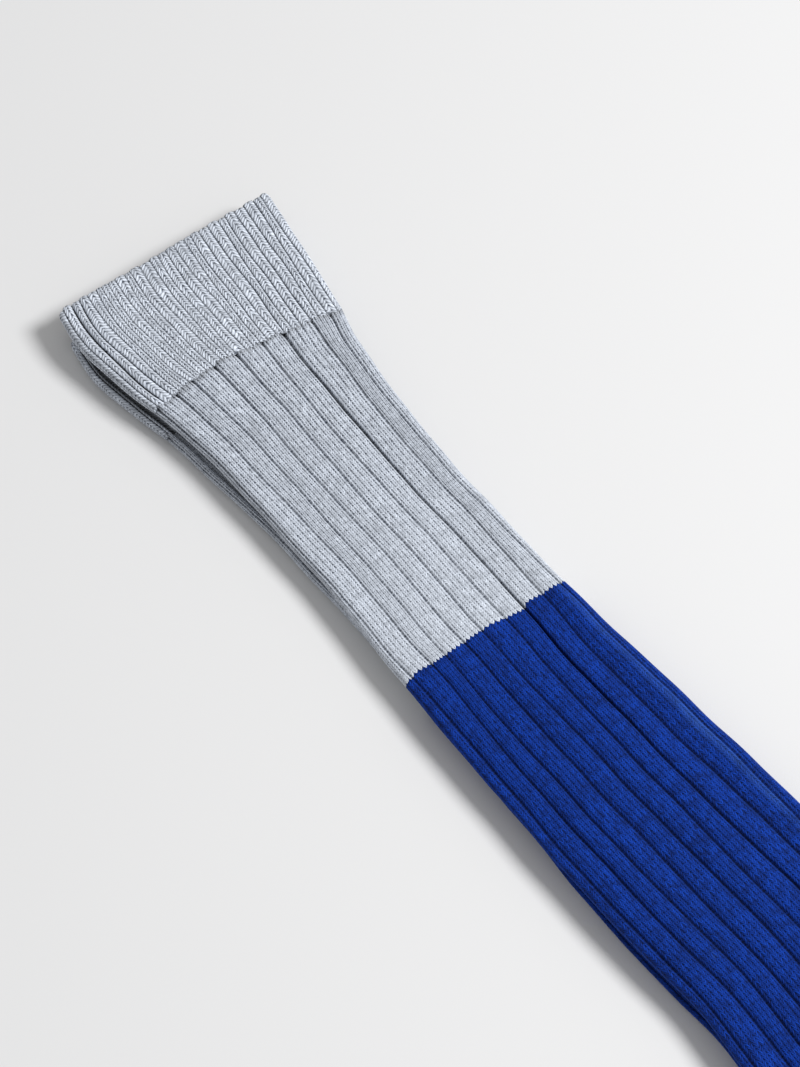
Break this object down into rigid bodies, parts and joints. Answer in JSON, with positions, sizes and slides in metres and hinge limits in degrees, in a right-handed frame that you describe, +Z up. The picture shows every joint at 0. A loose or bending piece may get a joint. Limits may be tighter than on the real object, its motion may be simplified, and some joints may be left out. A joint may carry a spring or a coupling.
{
  "type": "pair of knee socks",
  "caption": "Ribbed knee socks laid flat, one on the other, with a flared rib cuff, a pale upper leg, and a darker lower leg and foot.",
  "frame": {"origin": "centre of the bounding box's underside, where the lower sock rests", "axes": "+X down the leg from the cuffs to the ankle, +Y across the leg towards the toes, +Z up from the surface they lie on"},
  "size_m": [0.561, 0.2638, 0.0151],
  "materials": {
    "pale_knit": "matte",
    "blue_knit": "matte"
  },
  "bodies": {
    "root": {"upper_sock_cuff": "pale_knit", "upper_sock_leg_pale": "pale_knit", "upper_sock_leg_blue": "blue_knit", "upper_sock_foot": "blue_knit", "lower_sock_cuff": "pale_knit", "lower_sock_leg_pale": "pale_knit", "lower_sock_leg_blue": "blue_knit", "lower_sock_foot": "blue_knit"}
  },
  "joints": []
}
